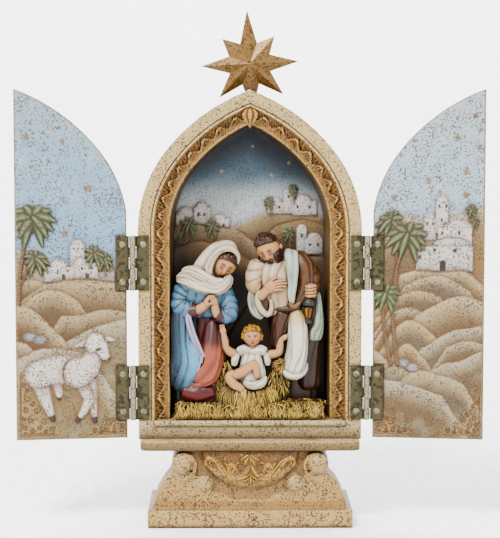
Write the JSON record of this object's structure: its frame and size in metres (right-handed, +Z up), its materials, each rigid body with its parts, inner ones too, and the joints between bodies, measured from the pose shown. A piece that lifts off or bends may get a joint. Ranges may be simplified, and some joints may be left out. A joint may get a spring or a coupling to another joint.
{
  "type": "triptych altarpiece",
  "caption": "Small folding shrine: a pointed-arch case with a kneeling family group in its niche, a star on its ridge, hinged relief doors and a moulded pedestal.",
  "frame": {"origin": "centre of the plinth's underside", "axes": "+X to the viewer's right, +Y away from the viewer, +Z up; the front with its niche faces -Y"},
  "size_m": [0.276, 0.062, 0.305],
  "materials": {
    "stone": "cast resin painted as speckled cream stone, with a brown antiquing wash",
    "gilt": "cast resin with an antiqued gold paint",
    "figures": "cast resin, hand painted in satin colours",
    "painted_relief": "cast resin relief, painted and speckled",
    "brass": "antiqued dark brass with bright wear"
  },
  "bodies": {
    "shrine": {"pedestal": "stone", "case": "stone", "star": "gilt", "family_group": "figures", "left_low_case_leaf": "brass", "left_low_pin": "brass", "left_low_case_screw_lower": "brass", "left_low_case_screw_upper": "brass", "left_high_case_leaf": "brass", "left_high_pin": "brass", "left_high_case_screw_lower": "brass", "left_high_case_screw_upper": "brass", "right_low_case_leaf": "brass", "right_low_pin": "brass", "right_low_case_screw_lower": "brass", "right_low_case_screw_upper": "brass", "right_high_case_leaf": "brass", "right_high_pin": "brass", "right_high_case_screw_lower": "brass", "right_high_case_screw_upper": "brass"},
    "left_door": {"left_door": "painted_relief", "left_low_door_leaf": "brass", "left_low_door_screw_lower": "brass", "left_low_door_screw_upper": "brass", "left_high_door_leaf": "brass", "left_high_door_screw_lower": "brass", "left_high_door_screw_upper": "brass"},
    "right_door": {"right_door": "painted_relief", "right_low_door_leaf": "brass", "right_low_door_screw_lower": "brass", "right_low_door_screw_upper": "brass", "right_high_door_leaf": "brass", "right_high_door_screw_lower": "brass", "right_high_door_screw_upper": "brass"}
  },
  "joints": [
    {"name": "left_door_hinge", "type": "hinge", "parent": "shrine", "child": "left_door", "pos_m": [-0.069, -0.021, 0.118], "axis": [0, 0, 1], "range_deg": [-25, 172]},
    {"name": "right_door_hinge", "type": "hinge", "parent": "shrine", "child": "right_door", "pos_m": [0.069, -0.021, 0.118], "axis": [0, 0, -1], "range_deg": [-25, 172]}
  ]
}
